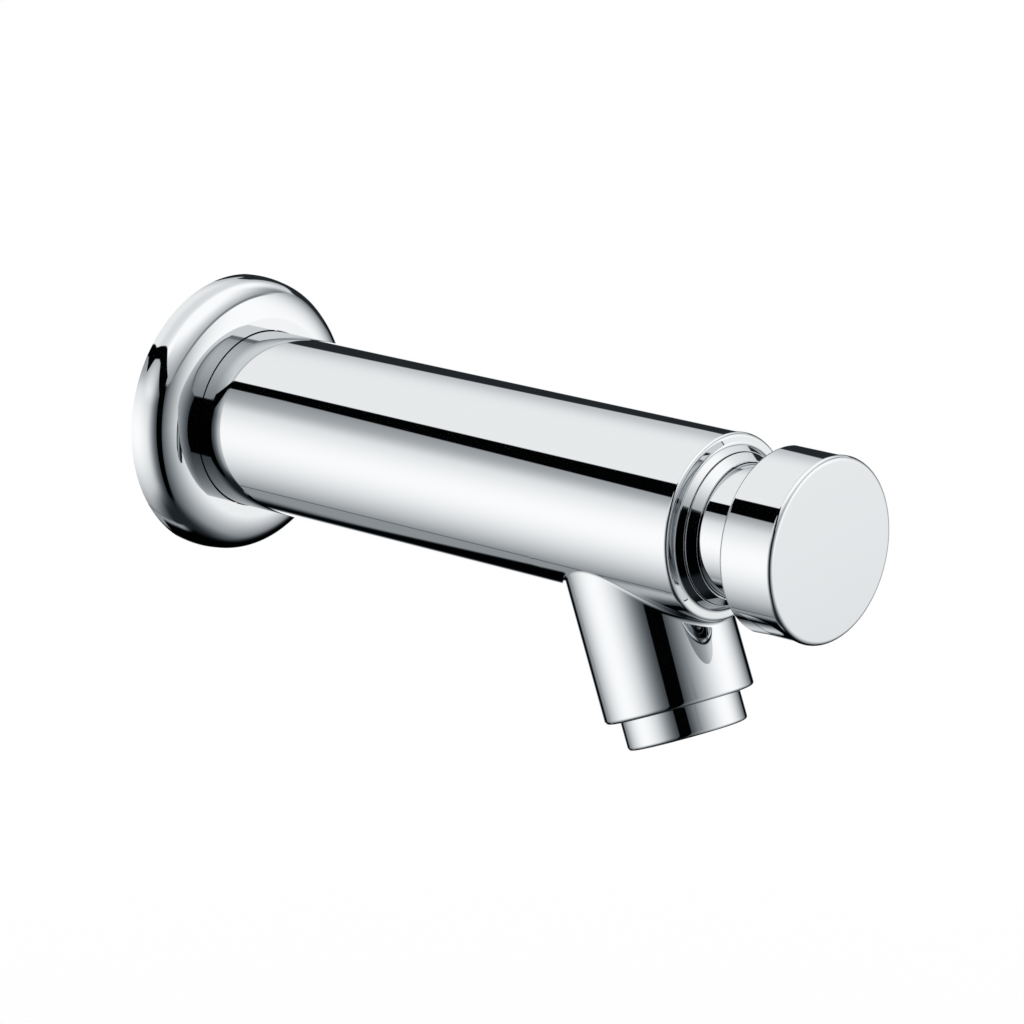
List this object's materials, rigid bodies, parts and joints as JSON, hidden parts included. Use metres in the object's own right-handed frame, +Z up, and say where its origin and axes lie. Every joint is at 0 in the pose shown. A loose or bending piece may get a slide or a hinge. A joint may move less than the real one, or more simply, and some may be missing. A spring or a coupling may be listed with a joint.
{
  "type": "push timed tap",
  "caption": "Wall-mounted self-closing tap with a round body, a domed rosette, a short forward-leaning spout with an aerator and a round push button that opens a timed valve.",
  "frame": {"origin": "middle of the rosette's back, on the wall, on the tap's axis", "axes": "-Y out of the wall along the tap, +Z up, +X to the right for someone facing the tap"},
  "size_m": [0.06, 0.178, 0.0793],
  "materials": {
    "chrome": "polished chrome on brass",
    "brass": "machined",
    "steel": "turned stainless",
    "rubber": "moulded, matt",
    "white_plastic": "moulded acetal",
    "grey_plastic": "moulded acetal"
  },
  "bodies": {
    "tap": {"wall_rosette": "chrome", "tap_body": "chrome", "front_bezel": "chrome", "aerator_shell": "chrome", "inlet_nipple": "brass", "cartridge_cap": "brass", "valve_seat": "brass", "inlet_strainer": "steel", "return_spring": "steel", "aerator_screens": "steel", "rosette_gasket": "rubber", "rosette_o_ring": "rubber", "inlet_washer": "rubber", "cartridge_gasket": "rubber", "cartridge_o_ring": "rubber", "cap_o_ring": "rubber", "spindle_o_ring": "rubber", "aerator_gasket": "rubber", "spindle_bush": "white_plastic", "flow_regulator": "white_plastic", "aerator_insert": "white_plastic", "cartridge_sleeve": "grey_plastic", "spring_cage": "grey_plastic"},
    "button": {"push_button": "chrome", "lock_nut": "steel", "spindle": "steel", "timing_piston": "white_plastic", "piston_lip_seal": "rubber", "piston_clip": "steel", "timing_needle": "steel", "poppet": "brass", "poppet_washer": "rubber", "poppet_nut": "steel"}
  },
  "joints": [
    {"name": "button_push", "type": "slide", "parent": "tap", "child": "button", "axis": [0, 1, 0], "range_m": [0, 0.0065], "stiffness_N_per_m": 1500, "springref_m": -0.008, "deforming": ["return_spring"]}
  ]
}
